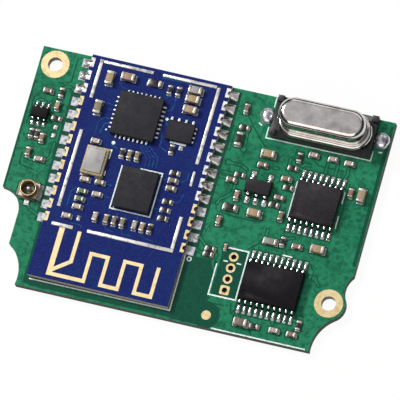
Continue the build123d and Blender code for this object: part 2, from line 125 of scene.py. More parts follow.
def noise(place, perMm, detail=3.0, roughness=0.55, stretch=None):
    if stretch:
        place = vectorCalc("MULTIPLY", place, stretch)
    values = {"Vector": place, "Scale": perMm, "Detail": detail, "Roughness": roughness}
    return put("TexNoise", values)["Fac"]


def ramp(fac, *stops):
    result = put("ValToRGB", {"Fac": fac})["Color"]
    band = result.node.color_ramp
    band.interpolation = "EASE"
    while len(band.elements) < len(stops):
        band.elements.new(0.5)
    for element, (position, colour) in zip(band.elements, stops):
        element.position = position
        element.color = (*linear(colour), 1)
    return result


def span(value, low, high, toLow=0.0, toHigh=1.0):
    values = {"Value": value, "From Min": low, "From Max": high, "To Min": toLow, "To Max": toHigh}
    return put("MapRange", values)["Result"]


def blend(fac, first, second, mode="MIX"):
    first, second = (c if isinstance(c, bpy.types.NodeSocket) else (*linear(c), 1) for c in (first, second))
    return put("Mix", {0: fac, 6: first, 7: second}, data_type="RGBA", blend_type=mode)[2]


def cover(under, over, source, low, high, most=1.0):
    # lays one colour over another where the source runs from low to high
    return blend(span(source, low, high, 0.0, most), under, over)


def dress(colour, roughness=None, height=None, depth=0.004):
    inputs = draft["tree"].nodes["Principled BSDF"].inputs
    feed(inputs["Base Color"], colour)
    if roughness is not None:
        feed(inputs["Roughness"], roughness)
    if height is not None:
        bump = put("Bump", {"Height": height, "Strength": 1.0, "Distance": depth * mm})
        feed(inputs["Normal"], bump["Normal"])


def normalZ():
    return axesOf(put("TexCoord")["Normal"])["Z"]


def facingUp(low, high):
    # 0 on walls and slopes, 1 on what lies flat
    return span(normalZ(), low, high)


def attribute(name, output="Fac"):
    return put("Attribute", attribute_name=name)[output]


# one short function for each finish

def solderMask(name, bare, pour, track, speck):
    # glossy lacquer: darker over bare laminate, lighter over the copper under it
    place = startMaterial(name, Specular_IOR_Level=0.15)
    copper = attribute("copper")
    cloud = noise(place, 0.35, 2)
    patch = noise(place, 1.7, 4, 0.65)
    fine = noise(place, 9.0, 4, 0.7)
    weave = put("TexVoronoi", {"Vector": place, "Scale": 2.6})["Distance"]
    poured = cover(*pour, cloud, 0.35, 0.65)
    colour = cover(bare, poured, copper, 0.0, 1.0)
    colour = cover(colour, track, copper, 1.0, 2.0)
    colour = cover(colour, bare, patch, 0.45, 0.62, 0.65)
    veins = put("TexVoronoi", {"Vector": place, "Scale": 0.9}, feature="DISTANCE_TO_EDGE")
    lines = times(span(veins["Distance"], 0.03, 0.09, 0.3, 0.0), copper)
    colour = blend(lines, colour, track)
    colour = cover(colour, speck, fine, 0.56, 0.76, 0.5)
    rough = span(fine, 0.3, 0.7, 0.16, 0.3)
    height = plus(times(weave, 0.5), fine)
    dress(colour, rough, height, 0.003)


def boardCore(name, lacquer, edge):
    # the board itself: lacquered underneath, woven glass and resin at its cut edges
    place = startMaterial(name, Roughness=0.5)
    flat = span(calc("ABSOLUTE", normalZ()), 0.45, 0.55)
    grain = noise(place, 5.0, 4, 0.7, (1, 1, 4))  # its plies lie flat
    side = ramp(grain, (0.3, edge[0]), (0.55, edge[1]), (0.72, edge[2]))
    cloud = noise(place, 0.5, 3)
    face = cover(*lacquer, cloud, 0.4, 0.6)
    dress(blend(flat, side, face), span(flat, 0, 1, 0.75, 0.3), grain)


def goldPlate(name, tint, shade, wall, rough):
    # thin gold over nickel, a little cloudy, with fine rub marks, and painted shade on its walls and slopes
    place = startMaterial(name, Metallic=0.45, Specular_IOR_Level=0.4)
    cloud = noise(place, 1.6, 4, 0.6)
    rub = noise(place, 6.0, 3, 0.6, (1.0, 5.0, 1.0))
    colour = ramp(cloud, (0.3, shade), (0.6, tint))
    colour = cover(colour, (0.96, 0.9, 0.76), rub, 0.6, 0.75, 0.2)
    # painted shade: walls and slopes take the darker wall colour
    colour = blend(facingUp(0.3, 0.8), wall, colour)
    dress(colour, span(rub, 0.3, 0.7, *rough), rub, 0.003)


def solderFinish(name, light, dark, rough, waves, depth, metal):
    # frozen tin: broad soft waves, small pits and a dull skin here and there
    place = startMaterial(name, Metallic=metal)
    wave = noise(place, waves, 3, 0.5)
    pits = noise(place, 9.0, 4, 0.65)
    colour = ramp(wave, (0.32, dark), (0.5, light), (0.75, tuple(min(0.97, c + 0.08) for c in light)))
    colour = cover(colour, dark, pits, 0.58, 0.72, 0.5)
    height = plus(wave, times(pits, 0.15))
    dress(colour, span(pits, 0.35, 0.65, *rough), height, depth)


def printInk():
    # white ink: matt, worn thin in places so that the board's colour comes through
    place = startMaterial("printInk", Roughness=0.65)
    worn = noise(place, 4.5, 4, 0.7)
    colour = ramp(worn, (0.28, (0.5, 0.62, 0.64)), (0.42, (0.82, 0.9, 0.9)), (0.56, (0.95, 0.98, 0.98)))
    dress(colour, None, worn, 0.006)


def mouldedBlack(name, base, light, rough):
    # chip compound: fine grain with pale filler specks and a little rubbed sheen
    place = startMaterial(name, Specular_IOR_Level=0.09)
    grain = noise(place, 7.0, 5, 0.75)
    cloud = noise(place, 0.9, 3, 0.6)
    colour = ramp(grain, (0.35, base), (0.62, light), (0.8, tuple(c + 0.08 for c in light)))
    colour = cover(colour, tuple(c * 0.8 for c in base), cloud, 0.4, 0.7, 0.35)
    dress(colour, span(cloud, 0.35, 0.65, *rough), grain, 0.008)


def canSteel():
    # drawn nickel-plated steel: finely mottled, with cloudy stains
    place = startMaterial("canSteel", Metallic=1.0)
    mottle = noise(place, 4.5, 4, 0.65)
    stain = noise(place, 0.9, 3, 0.5)
    colour = ramp(stain, (0.3, (0.74, 0.71, 0.7)), (0.5, (0.82, 0.8, 0.79)), (0.7, (0.89, 0.88, 0.87)))
    worn = times(span(mottle, 0.45, 0.7, 0.0, 0.6), facingUp(0.9, 1.0))
    colour = blend(worn, colour, (0.64, 0.61, 0.62))
    dress(colour, span(worn, 0.0, 0.6, 0.14, 0.26))


def leadTin():
    place = startMaterial("leadTin", Metallic=0.95)
    wave = noise(place, 2.5, 3)
    colour = ramp(wave, (0.3, (0.78, 0.78, 0.8)), (0.55, (0.97, 0.97, 0.97)))
    # painted shade: the bends and slopes of the leads are painted near-black, leaving flat shoulders and
    # toes bright
    colour = blend(facingUp(0.72, 0.95), (0.16, 0.15, 0.18), colour)
    dress(colour, span(wave, 0.3, 0.7, 0.14, 0.26), wave, 0.01)


def ceramic():
    # fired ceramic whose own tint comes with each part
    place = startMaterial("ceramic", Specular_IOR_Level=0.4)
    grain = noise(place, 10.0, 4, 0.7)
    tint = attribute("tint", "Color")
    colour = blend(span(grain, 0.35, 0.7, 0.0, 0.5), tint, (0.95, 0.93, 0.9), "SOFT_LIGHT")
    dress(colour, span(grain, 0.3, 0.7, 0.42, 0.6), grain, 0.006)


def resistorGlaze():
    # a resistor: dark glaze on top of a white ceramic chip
    place = startMaterial("resistorGlaze", Specular_IOR_Level=0.25)
    grain = noise(place, 8.0, 3)
    tint = attribute("tint", "Color")
    dark = cover(tint, (0.3, 0.3, 0.3), grain, 0.3, 0.7, 0.2)
    colour = blend(facingUp(0.5, 0.7), (0.5, 0.48, 0.45), dark)
    dress(colour, span(grain, 0.3, 0.7, 0.28, 0.42), grain, 0.004)


def plainMoulding(name, low, high, rough):
    place = startMaterial(name)
    grain = noise(place, 5.0, 4, 0.65)
    colour = ramp(grain, (0.3, low), (0.7, high))
    dress(colour, span(grain, 0.3, 0.7, *rough), grain, 0.01)


recipes = {
    solderMask: {  # bare laminate, two tints over copper, tracks, specks
        "greenMask": ((0.02, 0.26, 0.2), ((0.08, 0.44, 0.31), (0.14, 0.5, 0.36)), (0.18, 0.54, 0.4),
                      (0.26, 0.6, 0.46)),
        "blueMask": ((0.05, 0.09, 0.38), ((0.03, 0.18, 0.39), (0.02, 0.34, 0.46)), (0.12, 0.36, 0.6),
                     (0.3, 0.44, 0.62)),
    },
    boardCore: {  # two tints of lacquer, three of the cut edge
        "carrierCore": (((0.05, 0.32, 0.22), (0.07, 0.38, 0.27)),
                        # the carrier's cut-edge tints are its laminate, darkened as painted shade on its
                        # side faces
                        ((0.1, 0.13, 0.09), (0.17, 0.19, 0.13), (0.3, 0.29, 0.2))),
        "moduleCore": (((0.1, 0.1, 0.36), (0.12, 0.15, 0.42)),
                       ((0.5, 0.46, 0.43), (0.68, 0.65, 0.6), (0.85, 0.83, 0.8))),
    },
    goldPlate: {  # tint, shade, painted shade on walls, roughness from and to
        "goldPlate": ((0.83, 0.76, 0.58), (0.75, 0.66, 0.48), (0.36, 0.32, 0.25), (0.4, 0.6)),
        "antennaGold": ((0.89, 0.81, 0.63), (0.84, 0.74, 0.55), (0.7, 0.6, 0.4), (0.45, 0.65)),
        "socketGold": ((0.93, 0.84, 0.6), (0.7, 0.58, 0.36), (0.3, 0.24, 0.14), (0.15, 0.3)),
    },
    solderFinish: {  # light, dark, roughness, waves per mm, their depth in mm, share of metal
        "brightSolder": ((0.74, 0.73, 0.73), (0.34, 0.32, 0.31), (0.18, 0.3), 1.4, 0.05, 0.75),
        "domeSolder": ((0.84, 0.84, 0.88), (0.46, 0.44, 0.46), (0.18, 0.3), 1.3, 0.05, 0.8),
        "landTin": ((0.66, 0.67, 0.69), (0.4, 0.41, 0.43), (0.35, 0.55), 3.0, 0.02, 0.4),
        "padTin": ((0.66, 0.66, 0.66), (0.25, 0.27, 0.26), (0.3, 0.5), 3.0, 0.02, 0.6),
        "toeTin": ((0.84, 0.84, 0.84), (0.66, 0.65, 0.63), (0.3, 0.5), 3.0, 0.012, 0.35),
        "fenceTin": ((0.86, 0.85, 0.83), (0.62, 0.62, 0.62), (0.3, 0.5), 1.6, 0.03, 0.45),
        "capTin": ((0.72, 0.7, 0.66), (0.46, 0.43, 0.4), (0.25, 0.45), 3.5, 0.012, 0.6),
        "lidSteel": ((0.58, 0.58, 0.58), (0.5, 0.5, 0.5), (0.45, 0.6), 0.5, 0.003, 0.3),
    },
    mouldedBlack: {  # grain dark and light, roughness
        "chipBlack": ((0.14, 0.13, 0.15), (0.2, 0.19, 0.21), (0.42, 0.6)),
        "darkChip": ((0.06, 0.05, 0.07), (0.1, 0.09, 0.11), (0.42, 0.6)),
        "flatChip": ((0.16, 0.16, 0.18), (0.2, 0.2, 0.22), (0.5, 0.7)),
    },
    plainMoulding: {
        "insulatorBlack": ((0.05, 0.05, 0.06), (0.1, 0.1, 0.12), (0.35, 0.55)),
        "socketBase": ((0.24, 0.22, 0.18), (0.4, 0.36, 0.29), (0.4, 0.6)),
        "khaki": ((0.6, 0.53, 0.37), (0.74, 0.68, 0.52), (0.3, 0.5)),
    },
}
for make, rows in recipes.items():
    for name, values in rows.items():
        make(name, *values)
for make in (printInk, canSteel, leadTin, ceramic, resistorGlaze):
    make()
print("finishes made:", len(finishes))


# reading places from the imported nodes

def mergedCopy(name):
    mesh = bmesh.new()
    mesh.from_mesh(cadNodes[name].data)
    bmesh.ops.remove_doubles(mesh, verts=mesh.verts, dist=hair)
    bmesh.ops.scale(mesh, vec=inMm, verts=mesh.verts)
    return mesh


def islands(name, turn=0.0):
    # centre and size of each loose part of a node, along axes turned by that angle
    mesh = mergedCopy(name)
    unturn = Matrix.Rotation(-turn, 3, "Z")
    seen = set()
    found = []
    for start in mesh.verts:
        if start in seen:
            continue
        seen.add(start)
        group = [start]
        for vertex in group:
            for edge in vertex.link_edges:
                other = edge.other_vert(vertex)
                if other not in seen:
                    seen.add(other)
                    group.append(other)
        points = [unturn @ vertex.co for vertex in group]
        low = Vector(min(p[i] for p in points) for i in range(3))
        high = Vector(max(p[i] for p in points) for i in range(3))
        centre = unturn.transposed() @ ((low + high) / 2)
        found.append({"centre": centre, "size": high - low, "turn": turn})
    mesh.free()
    return found


def linked(name, data):
    item = bpy.data.objects.new(name, data)
    bpy.context.scene.collection.objects.link(item)
    return item


def settle(piece, slotName, *replaced):
    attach(piece, "root")
    if replaced:
        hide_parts(*replaced)


def fromBmesh(name, mesh, *materials, smooth=None):
    data = bpy.data.meshes.new(name)
    if smooth:
        bmesh.ops.recalc_face_normals(mesh, faces=mesh.faces)
    bmesh.ops.scale(mesh, vec=(mm, mm, mm), verts=mesh.verts)
    mesh.to_mesh(data)
    mesh.free()
    for material in materials:
        data.materials.append(finishes[material])
    if smooth:
        data.shade_smooth()
        data.set_sharp_from_angle(angle=radians(smooth))
    return linked(name, data)


def seedPoints(items):
    # a point for each copy, with the size, turn and tint that the tree reads
    data = bpy.data.meshes.new("seeds")
    data.from_pydata([item["centre"] * mm for item in items], [], [])
    for name, kind in (("size", "FLOAT_VECTOR"), ("turn", "FLOAT"), ("tint", "FLOAT_COLOR")):
        layer = data.attributes.new(name, kind, "POINT")
        for spot, item in zip(layer.data, items):
            if name == "size":
                spot.vector = item["size"] * mm
            elif name == "turn":
                spot.value = item["turn"]
            else:
                spot.color = (*linear(item.get("tint", (0.5, 0.5, 0.5))), 1)
    return linked("seeds", data)


def startTree(name, sizes):
    # a Geometry Nodes tree with named inputs for its sizes and its finish
    draft["tree"] = bpy.data.node_groups.new(name, "GeometryNodeTree")
    draft["tree"].is_modifier = True
    addSocket = draft["tree"].interface.new_socket
    addSocket("Geometry", in_out="INPUT", socket_type="NodeSocketGeometry")
    for size, value in sizes.items():
        addSocket(size, in_out="INPUT", socket_type="NodeSocketFloat").default_value = value * mm
    addSocket("Finish", in_out="INPUT", socket_type="NodeSocketMaterial")
    addSocket("Geometry", in_out="OUTPUT", socket_type="NodeSocketGeometry")
    return put("Input", family="NodeGroup")


def endTree(copies, spot, finish):
    # puts each point at its place round its seed, then smooths and dresses the copies
    values = {"Vector": spot, "Angle": named("turn", "FLOAT")}
    turned = put("VectorRotate", values, rotation_type="Z_AXIS")[0]
    place = vectorCalc("ADD", turned, named("seedPlace"))
    moved = form("SetPosition", {"Geometry": copies, "Position": place})[0]
    smooth = form("SetShadeSmooth", {"Geometry": moved})["Geometry"]
    dressed = form("SetMaterial", {"Geometry": smooth, "Material": finish})[0]
    put("Output", {"Geometry": dressed}, "NodeGroup")
    return draft["tree"]


def grow(name, tree, seeds, finish, sharp, **sizes):
    # runs the tree once on its seed points and keeps the plain mesh
    modifier = seeds.modifiers.new("tree", "NODES")
    modifier.node_group = tree
    values = {"Finish": finishes[finish], **{key: value * mm for key, value in sizes.items()}}
    for item in tree.interface.items_tree:
        if item.in_out == "INPUT" and item.name in values:
            modifier[item.identifier] = values[item.name]
    ready = seeds.evaluated_get(bpy.context.evaluated_depsgraph_get())
    data = bpy.data.meshes.new_from_object(ready)
    bpy.data.objects.remove(seeds)
    data.name = name
    data.set_sharp_from_angle(angle=radians(sharp))
    return linked(name, data)


def named(name, kind="FLOAT_VECTOR"):
    return form("InputNamedAttribute", {"Name": name}, data_type=kind)["Attribute"]


def copiesOf(template, points):
    # one copy of the template on each seed point, each remembering its seed's place
    place = form("InputPosition")[0]
    kept, marked = (form("StoreNamedAttribute", {0: shape, "Name": name, "Value": place},
                         data_type="FLOAT_VECTOR", domain="POINT")[0]
                    for shape, name in ((template, "own"), (points, "seedPlace")))
    copies = form("InstanceOnPoints", {"Points": marked, "Instance": kept})[0]
    return form("RealizeInstances", {0: copies})[0]


def cube(x, y, z):
    # a unit cube with that many points along its sides
    return form("MeshCube", {"Vertices X": x, "Vertices Y": y, "Vertices Z": z})["Mesh"]


def roundedBlocks():
    # blocks of each seed's own size with rounded edges and a crown on top
    given = startTree("roundedBlocks", {"Rounding": 0.03, "Crown": 0.0})
    copies = copiesOf(cube(4, 4, 4), given["Geometry"])
    own = named("own")
    half = vectorCalc("MULTIPLY", named("size"), (0.5, 0.5, 0.5))
    sign = vectorCalc("SIGN", own)
    # 1 for the points that lie on a rim, 0 for those further in
    outer = vectorCalc("FLOOR", vectorCalc("MULTIPLY", vectorCalc("ABSOLUTE", own), (2.2, 2.2, 2.2)))
    halves = axesOf(half)
    least = calc("MINIMUM", calc("MINIMUM", halves[0], halves[1]), halves[2])
    radius = calc("MINIMUM", given["Rounding"], times(least, 0.95))  # a thin block keeps a flat strip
    inset = joined(radius, radius, radius)
    core = vectorCalc("MULTIPLY", sign, vectorCalc("SUBTRACT", half, inset))
    lean = vectorCalc("NORMALIZE", vectorCalc("MULTIPLY", sign, outer))
    spot = vectorCalc("ADD", core, vectorCalc("MULTIPLY", lean, inset))
    part = axesOf(spot)
    rim = axesOf(outer)
    inside = times(minus(1.0, rim[0]), minus(1.0, rim[1]))
    above = calc("GREATER_THAN", axesOf(own)[2], 0.0)
    raised = times(times(inside, above), given["Crown"])
    spot = joined(part[0], part[1], plus(part[2], raised))
    return endTree(copies, spot, given["Finish"])


blockTree = roundedBlocks()


def tintAt(centre, usual, others):
    # the tint that is given for a place within a millimetre, or else the usual one
    far, tint = min(((centre.xy - Vector(place)).length, tint) for tint in others for place in others[tint])
    return tint if far < 1 else usual


def blocks(name, nodeName, finish, slotName, turn=0.0, tinted=None, sharp=40, narrow=1.0, **sizes):
    # stands rounded blocks in for every loose part of a node
    items = islands(nodeName, turn)
    for item in items:
        item["size"][0 if item["size"].x < item["size"].y else 1] *= narrow
        if tinted:
            item["tint"] = tintAt(item["centre"], *tinted)
    piece = grow(name, blockTree, seedPoints(items), finish, sharp, **sizes)
    settle(piece, slotName, nodeName)


def softened(name, nodeName, finish, slotName, width, segments=2):
    # the node's own shape with its edges eased
    mesh = mergedCopy(nodeName)
    bmesh.ops.dissolve_limit(mesh, angle_limit=radians(1), verts=mesh.verts, edges=mesh.edges)
    piece = fromBmesh(name, mesh, finish)
    piece.data.shade_smooth()
    bevel = piece.modifiers.new("easedEdges", "BEVEL")
    bevel.width = width * mm
    bevel.segments = segments
    bevel.angle_limit = radians(30)
    bevel.harden_normals = True
    settle(piece, slotName, nodeName)


def plain(finish, *nodeNames):
    # keeps the nodes' shapes and gives them a finish
    for name in nodeNames:
        for slot in cadNodes[name].material_slots:
            slot.material = finishes[finish]


# lacquer films, with openings, copper areas and tracks under them

def topLoops(name, level, turn=0.0):
    # the outlines round a board's top face, the outer one first, along axes turned by that angle
    mesh = mergedCopy(name)
    unturn = Matrix.Rotation(-turn, 3, "Z")
    top = {f for f in mesh.faces if f.normal.z > 0.9 and abs(f.calc_center_median().z - level) < 0.01}
    rim = [e for e in mesh.edges if sum(f in top for f in e.link_faces) == 1]
    loops = []
    while rim:
        edge = rim.pop()
        loop = [edge.verts[0], edge.verts[1]]
        while True:
            following = [e for e in loop[-1].link_edges if e in rim]
            if not following:
                break
            rim.remove(following[0])
            loop.append(following[0].other_vert(loop[-1]))
        points = [(unturn @ v.co).xy for v in loop[:-1]]
        area = sum(a.cross(b) for a, b in zip(points, points[1:] + points[:1]))
        loops.append(points if area > 0 else points[::-1])  # each outline runs counterclockwise
    mesh.free()
    return sorted(loops, key=lambda loop: -(max(p.x for p in loop) - min(p.x for p in loop)))


def roundedRectangle(centre, size, margin, corner=0.12):
    halfX = size[0] / 2 + margin
    halfY = size[1] / 2 + margin
    points = []
    for quarter, (signX, signY) in enumerate(((1, 1), (-1, 1), (-1, -1), (1, -1))):
        for step in (0, 45, 90):
            angle = radians(90 * quarter + step)
            points.append(Vector((centre[0] + signX * (halfX - corner) + corner * cos(angle),
                                  centre[1] + signY * (halfY - corner) + corner * sin(angle))))
    return points


def ribbon(route, home, width):
    # a track's outline, one rounded bar for each straight run
    points = [(home.x + x, home.y + y) for x, y in zip(route[::2], route[1::2])]
    bars = []
    for start, end in zip(points, points[1:]):
        angle = atan2(end[1] - start[1], end[0] - start[0])
        bar = []
        for point, base in ((end, -90), (start, 90)):
            for step in (0, 60, 120, 180):
                lean = angle + radians(base + step)
                bar.append(Vector((point[0] + width / 2 * cos(lean), point[1] + width / 2 * sin(lean))))
        bars.append(bar)
    return bars


def disc(x, y, radius, sides=20):
    angles = [2 * pi * i / sides for i in range(sides)]
    return [Vector((x + radius * cos(angle), y + radius * sin(angle))) for angle in angles]


film = {
    "sink": 0.004,  # how deep the film's underside lies in the board
    "skin": 0.008,
    "discSides": 32,
    "viaGap": 0.42,
    "viaRadius": 0.27,
    "copperFrom": 0.9,  # from this much copper on, the film stands higher
    "weld": 1e-5,
}


def maskFilm(name, nodeName, level, turn, centre, pads, plan, finish, slotName):
    # one lacquer film: thicker where copper lies under it, open round plated holes
    loops = topLoops(nodeName, level, turn)
    unturn = Matrix.Rotation(-turn, 2)
    home = unturn @ Vector(centre)
    shapes = [("outline", loops[0])] + [("hole", loop) for loop in loops[1:]]
    for item in pads:
        spot = unturn @ item["centre"].xy
        shapes.append(("pad", roundedRectangle(spot, item["size"], plan["padGap"])))
    for box in plan["bareBoxes"]:
        middle = home + Vector(((box[0] + box[2]) / 2, (box[1] + box[3]) / 2))
        shapes.append(("bare", roundedRectangle(middle, (box[2] - box[0], box[3] - box[1]), 0)))
    for x, y, radius in plan["bareDiscs"]:
        shapes.append(("bare", disc(home.x + x, home.y + y, radius, film["discSides"])))
    for route in plan["gapLines"]:
        shapes += [("gap", bar) for bar in ribbon(route, home, plan["gapWidth"])]
    for route in plan["tracks"]:
        shapes += [("gap", bar) for bar in ribbon(route, home, plan["trackWidth"] + 2 * plan["trackGap"])]
        shapes += [("track", bar) for bar in ribbon(route, home, plan["trackWidth"])]
    for x, y in plan["vias"]:
        shapes.append(("gap", disc(home.x + x, home.y + y, film["viaGap"])))
        shapes.append(("track", disc(home.x + x, home.y + y, film["viaRadius"])))
    points = []
    faces = []
    for kind, loop in shapes:
        faces.append(list(range(len(points), len(points) + len(loop))))
        points += loop
    newPoints, _, newFaces, _, _, origins = delaunay_2d_cdt(points, [], faces, 1, film["weld"])
    mesh = bmesh.new()
    back = Matrix.Rotation(turn, 3, "Z")
    base = level - film["sink"]
    spots = [mesh.verts.new(back @ Vector((p.x, p.y, base))) for p in newPoints]
    copperLayer = mesh.faces.layers.float.new("copper")
    for corners, origin in zip(newFaces, origins):
        kinds = {shapes[i][0] for i in origin}
        if "outline" not in kinds or "hole" in kinds:
            continue
        face = mesh.faces.new([spots[i] for i in corners])
        face[copperLayer] = next((value for kind, value in plan["copper"].items() if kind in kinds), 1.0)
    loose = [v for v in mesh.verts if not v.link_faces]
    bmesh.ops.delete(mesh, geom=loose, context="VERTS")
    bmesh.ops.recalc_face_normals(mesh, faces=mesh.faces)
    if sum(f.normal.z for f in mesh.faces) < 0:
        bmesh.ops.reverse_faces(mesh, faces=mesh.faces)
    under = set(bmesh.ops.duplicate(mesh, geom=mesh.faces[:])["geom"])
    for rise, least in ((film["skin"], -1.0), (plan["relief"], film["copperFrom"])):
        chosen = [f for f in mesh.faces if f.normal.z > 0.5 and f not in under and f[copperLayer] > least]
        made = bmesh.ops.extrude_face_region(mesh, geom=chosen)["geom"]
        for item in made:
            if isinstance(item, bmesh.types.BMVert):
                item.co.z += rise
    bmesh.ops.reverse_faces(mesh, faces=[f for f in under if isinstance(f, bmesh.types.BMFace)])
    bmesh.ops.remove_doubles(mesh, verts=mesh.verts, dist=film["weld"])
    settle(fromBmesh(name, mesh, finish), slotName)


# boxes are x, y, x, y of two corners, and a route is x, y, x, y and so on along a track or a gap

carrierPlan = {
    "copper": {"track": 1.15, "bare": 0.1, "pad": 0.2, "gap": 0.2},  # 1 is the plain copper area
    "padGap": 0.16, "gapWidth": 0.16, "trackWidth": 0.2, "trackGap": 0.14, "relief": 0.01,
    "bareBoxes": [
        (1.85, -13.3, 5.2, -5.95), (-15.55, -6.0, -13.9, 9.6), (1.0, -6.0, 2.8, 13.1),
        # the two strips from x 8.4 to 15.3 along the lower chip's lead rows are bare laminate as painted
        # shade between its leads
        (-14.2, -13.2, 2.0, 12.9), (8.4, -5.5, 15.3, -4.75), (8.4, -10.7, 15.3, -9.9),
        # the strip from x -14.9 to -14.0 beside the module's lower left edge is painted shade
        (-14.9, -13.1, -14.0, -5.9), (-19.95, -3.0, -19.75, 9.5), (19.55, -3.2, 19.93, 12.9),
        (5.45, -9.6, 8.2, -4.2),
    ],
    "bareDiscs": [(5.6, -12.05, 1.5)],
    "gapLines": [
        (4.2, 10.6, 4.9, 9.7, 6.2, 8.3, 6.8, 7.7), (10.3, 8.1, 10.3, 6.9),
        (8.1, -3.9, 9.1, -3.0, 12.1, -3.1, 12.4, -3.6),
        (7.9, -10.2, 8.1, -11.2, 9.0, -11.7, 10.4, -12.3, 10.9, -13.1), (6.9, 5.3, 6.9, 4.6),
        (-16.3, 9.9, -15.9, 10.1, -15.9, 12.9), (-17.0, 6.2, -16.3, 6.6, -16.0, 7.4),
        # the gap line down x 14.95 from y -4.2 to -9.8 is the lower chip's painted shadow; its turn down x
        # 15.9 is a gap in the copper
        (3.9, -0.5, 5.6, -0.7, 8.6, -0.7), (14.95, -4.2, 14.95, -9.8, 15.9, -9.9, 15.9, -11.4),
        (-19.0, 1.2, -18.9, -0.2, -17.2, -0.5), (5.3, -9.9, 5.3, -10.6, 7.2, -10.6),
        (12.3, 7.4, 13.1, 6.9, 15.9, 6.9), (-19.4, 4.5, -19.4, 7.6, -18.9, 8.0),
        (16.9, 5.6, 16.9, 3.4, 16.9, 0.2),
    ],
    "tracks": [
        (-15.3, 9.1, -15.7, 9.5, -16.2, 9.5, -16.5, 9.25), (-19.0, 7.1, -18.7, 7.4, -18.3, 7.4),
        (-18.3, 7.1, -18.0, 7.3), (-17.6, 7.1, -17.3, 7.4, -17.1, 7.4),
        (-15.8, 3.0, -15.8, 1.3, -16.1, 0.95, -16.4, 0.75), (-17.4, 0.6, -18.2, 0.6),
        (-16.95, -4.3, -16.4, -4.9, -15.3, -5.35), (3.9, 9.3, 4.5, 8.9, 4.6, 7.7, 4.6, 6.9),
        (3.0, 9.1, 3.0, 6.6), (2.9, 3.95, 4.2, 3.95), (2.9, 3.4, 3.8, 3.4),
        (4.75, 2.9, 4.75, 1.9, 4.2, 1.3, 3.6, 0.9, 3.4, 0.3), (11.3, 6.4, 11.6, 6.7, 12.2, 6.7),
        (14.0, 7.4, 14.0, 6.2), (15.1, 7.5, 15.1, 6.2), (16.3, 7.4, 16.4, 6.6, 16.2, 6.0),
        (2.5, -3.7, 3.1, -4.2, 3.7, -4.7), (4.6, -4.8, 4.9, -5.3, 4.7, -6.2, 5.1, -7.0),
        (2.5, -5.2, 3.4, -5.4), (9.9, 7.0, 9.9, 6.2), (9.3, 2.9, 8.6, 3.4),
        (11.6, -2.0, 12.2, -1.7, 12.6, -1.6), (9.6, -1.3, 9.6, -2.0), (17.0, 5.0, 17.2, 4.9),
        (3.6, 5.1, 4.9, 5.1, 5.6, 4.7), (8.3, 5.6, 8.9, 5.6), (10.9, 6.2, 11.7, 6.0),
        (-17.3, 5.8, -16.8, 5.5, -16.3, 5.6), (-18.3, 4.6, -18.0, 4.1, -17.4, 3.9),
        (15.1, -4.2, 15.3, -4.8), (15.95, -5.4, 16.6, -6.2), (8.6, -10.9, 8.9, -11.4, 9.2, -11.5),
        (12.7, -10.9, 12.9, -11.5), (14.6, -10.5, 15.6, -10.5),
    ],
    "vias": [(4.6, 6.9), (15.35, -4.85), (15.95, -5.45), (3.4, 5.1)],
}
modulePlan = {
    "copper": {"track": 1.2, "bare": 0.1, "pad": 0.2, "gap": 0.6},
    "padGap": 0.12, "gapWidth": 0.12, "trackWidth": 0.11, "trackGap": 0.09, "relief": 0.01,
    "bareBoxes": [
        (-7.9, -12.8, 7.9, -6.75), (-7.9, -6.8, -7.0, 12.8), (6.95, -6.8, 7.9, 12.8),
        (-3.75, 4.3, 1.55, 9.6), (-4.0, 5.6, -3.4, 8.9), (0.2, 11.9, 3.6, 12.1), (5.3, 2.4, 6.3, 3.3),
    ],
    "bareDiscs": [(-5.6, 8.6, 0.5), (4.9, 3.6, 0.6)],
    "gapLines": [
        (-6.4, 8.9, -4.3, 8.9, -3.9, 9.9, -0.8, 10.2), (2.1, 9.8, 2.1, 4.9), (-2.6, 1.7, -2.6, -2.9),
        (-6.4, 3.9, -3.6, 3.9, -2.0, 3.9), (-6.2, -0.5, -2.2, -0.5), (3.6, 2.3, 3.6, -4.2),
        (-6.3, -5.0, -3.2, -5.1), (3.7, -5.7, 6.3, -5.7), (5.8, 8.3, 5.8, 2.6),
    ],
    "tracks": [
        (-0.2, 4.3, 0.3, 3.6, 1.1, 2.8, 1.2, 1.9), (0.1, 4.3, 0.6, 3.7, 1.5, 2.9, 1.6, 1.9),
        (0.4, 4.3, 0.9, 3.8, 1.9, 3.0, 2.0, 1.9), (0.7, 4.3, 1.3, 3.9, 2.3, 3.1, 2.4, 1.9),
        (-4.0, 6.2, -4.7, 6.2, -5.2, 5.6, -5.2, 3.9), (-4.0, 5.7, -4.5, 5.5, -4.7, 4.4),
        (-4.0, 7.2, -4.9, 7.2, -5.0, 7.4), (-4.0, 7.7, -4.9, 7.9), (1.7, 8.4, 2.3, 8.7, 2.4, 9.9),
        (1.7, 7.9, 2.1, 7.2, 2.3, 6.9), (1.7, 6.4, 2.1, 5.2, 2.1, 4.4, 3.0, 4.0),
        (-5.2, -2.0, -5.9, -2.7, -5.9, -4.4), (-2.5, -1.1, -1.8, -1.1), (-2.4, -2.5, -1.6, -2.5),
        (3.5, 0.9, 4.0, 0.9), (3.5, 0.1, 4.0, 0.0), (3.5, -1.5, 4.1, -1.5), (3.4, -2.5, 4.1, -2.5),
        (5.4, 0.9, 6.1, 1.4, 6.1, 2.2), (5.4, -1.5, 6.0, -1.1, 6.2, -0.2), (-1.2, -4.3, -1.2, -3.9),
        (0.6, -4.3, 0.7, -3.9), (2.0, -4.3, 2.0, -3.9), (-0.3, -4.3, -0.2, -3.9),
        (0.6, -5.6, 0.9, -6.1, 1.8, -6.1), (-1.2, -5.6, -1.0, -6.0, -0.2, -6.1),
        (2.8, -5.6, 3.2, -6.0, 4.4, -6.1), (-4.2, 10.4, -3.6, 9.9, -2.4, 9.8), (1.5, 10.1, 1.2, 9.7),
        (2.5, 10.1, 2.2, 9.9), (4.3, 8.4, 4.4, 7.9), (3.5, 4.9, 3.5, 4.7), (-3.1, 3.3, -2.4, 3.1),
        (-4.9, -6.2, -3.7, -6.2, -3.7, -6.9),
    ],
    "vias": [],
}


